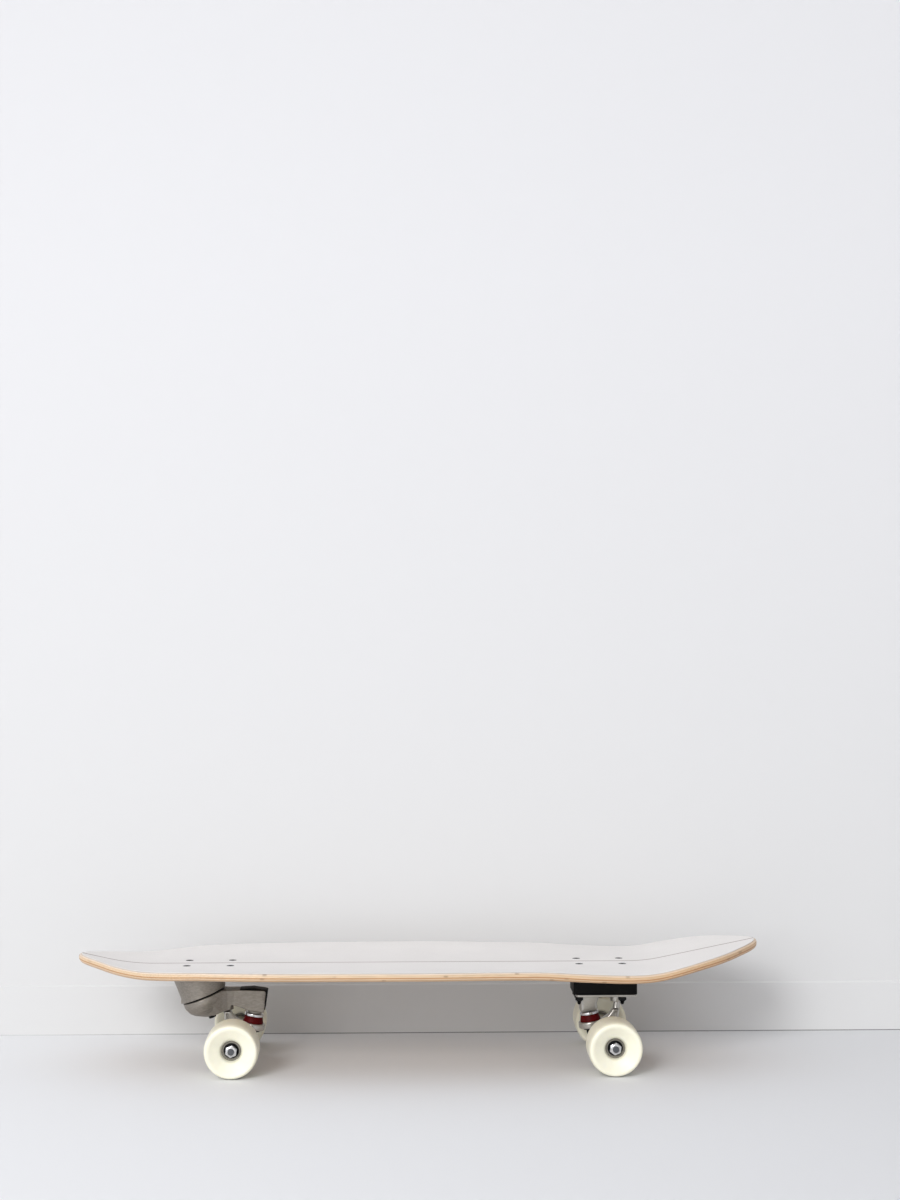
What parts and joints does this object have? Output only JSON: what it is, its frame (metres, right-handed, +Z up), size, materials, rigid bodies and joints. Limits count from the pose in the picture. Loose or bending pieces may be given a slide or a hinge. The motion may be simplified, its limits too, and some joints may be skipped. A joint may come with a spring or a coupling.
{
  "type": "surf skateboard",
  "caption": "Surf skateboard with a concave kicked deck, a spring-centred swing arm carrying the front truck, a rear truck on a riser, and wide soft wheels.",
  "frame": {"origin": "on the ground under the middle of the board, the centre of the bounding box's bottom face", "axes": "+X toward the tail, -X toward the nose, +Z up out of the deck; -Y is the side with the left wheels"},
  "size_m": [0.849, 0.254, 0.1513],
  "materials": {
    "deck_wood": "clear-coated laminated maple and bamboo edge",
    "grip_surface": "pale fine-grained clear grip coat",
    "grey_cast_metal": "tumbled casting, satin",
    "bright_cast_metal": "raw casting, satin",
    "bright_steel": "zinc-plated",
    "black_steel": "black oxide",
    "urethane": "cast cream urethane, satin",
    "bushing_urethane": "translucent dark red urethane",
    "black_plastic": "moulded matt black"
  },
  "bodies": {
    "board": {"deck": "deck_wood", "grip_sheet": "grip_surface", "front_bolt_1": "black_steel", "front_bolt_2": "black_steel", "front_bolt_3": "black_steel", "front_bolt_4": "black_steel", "rear_bolt_1": "black_steel", "rear_bolt_2": "black_steel", "rear_bolt_3": "black_steel", "rear_bolt_4": "black_steel", "rear_nut_1": "black_steel", "rear_nut_2": "black_steel", "rear_nut_3": "black_steel", "rear_nut_4": "black_steel", "rear_riser": "black_plastic", "rear_baseplate": "bright_cast_metal", "adapter_base": "grey_cast_metal", "pivot_shaft": "black_steel", "retaining_screw": "black_steel", "thrust_bearing": "black_plastic", "return_spring": "bright_steel", "rear_kingpin": "black_steel", "rear_kingpin_nut": "black_steel", "rear_top_cup_washer": "bright_steel", "rear_top_bushing": "bushing_urethane", "rear_lower_bushing": "bushing_urethane", "rear_lower_washer": "black_steel", "rear_pivot_cup": "black_plastic"},
    "swing": {"swing_arm": "grey_cast_metal", "arm_cover": "black_plastic", "spring_hub": "black_steel", "upper_arm_bearing": "bright_steel", "lower_arm_bearing": "bright_steel", "front_kingpin": "black_steel", "front_kingpin_nut": "black_steel", "front_top_cup_washer": "bright_steel", "front_top_bushing": "bushing_urethane", "front_lower_bushing": "bushing_urethane", "front_lower_washer": "black_steel", "front_pivot_cup": "black_plastic"},
    "front_truck": {"front_hanger": "bright_cast_metal", "front_axle": "bright_steel", "front_left_axle_nut": "bright_steel", "front_right_axle_nut": "bright_steel"},
    "rear_truck": {"rear_hanger": "bright_cast_metal", "rear_axle": "bright_steel", "rear_left_axle_nut": "bright_steel", "rear_right_axle_nut": "bright_steel"},
    "front_left_wheel_set": {"front_left_wheel": "urethane", "front_left_outer_bearing": "bright_steel", "front_left_inner_bearing": "bright_steel"},
    "front_right_wheel_set": {"front_right_wheel": "urethane", "front_right_outer_bearing": "bright_steel", "front_right_inner_bearing": "bright_steel"},
    "rear_left_wheel_set": {"rear_left_wheel": "urethane", "rear_left_outer_bearing": "bright_steel", "rear_left_inner_bearing": "bright_steel"},
    "rear_right_wheel_set": {"rear_right_wheel": "urethane", "rear_right_outer_bearing": "bright_steel", "rear_right_inner_bearing": "bright_steel"}
  },
  "joints": [
    {"name": "arm_swing", "type": "hinge", "parent": "board", "child": "swing", "pos_m": [-0.2693, 0, 0.0824], "axis": [-0.3665, 0, 0.9304], "range_deg": [-25, 25], "stiffness_Nm_per_rad": 14, "deforming": ["return_spring"]},
    {"name": "front_lean", "type": "hinge", "parent": "swing", "child": "front_truck", "pos_m": [-0.2421, 0, 0.075], "axis": [-0.7523, 0, 0.6588], "range_deg": [-12, 12], "stiffness_Nm_per_rad": 60, "deforming": ["front_top_bushing", "front_lower_bushing"]},
    {"name": "rear_lean", "type": "hinge", "parent": "board", "child": "rear_truck", "pos_m": [0.249, 0, 0.075], "axis": [0.7523, 0, 0.6588], "range_deg": [-12, 12], "stiffness_Nm_per_rad": 60, "deforming": ["rear_top_bushing", "rear_lower_bushing"]},
    {"name": "front_left_roll", "type": "hinge", "parent": "front_truck", "child": "front_left_wheel_set", "pos_m": [-0.2286, -0.0895, 0.033], "axis": [0, 1, 0], "continuous": true},
    {"name": "front_right_roll", "type": "hinge", "parent": "front_truck", "child": "front_right_wheel_set", "pos_m": [-0.2286, 0.0895, 0.033], "axis": [0, 1, 0], "continuous": true},
    {"name": "rear_left_roll", "type": "hinge", "parent": "rear_truck", "child": "rear_left_wheel_set", "pos_m": [0.2355, -0.0895, 0.033], "axis": [0, 1, 0], "continuous": true},
    {"name": "rear_right_roll", "type": "hinge", "parent": "rear_truck", "child": "rear_right_wheel_set", "pos_m": [0.2355, 0.0895, 0.033], "axis": [0, 1, 0], "continuous": true}
  ]
}
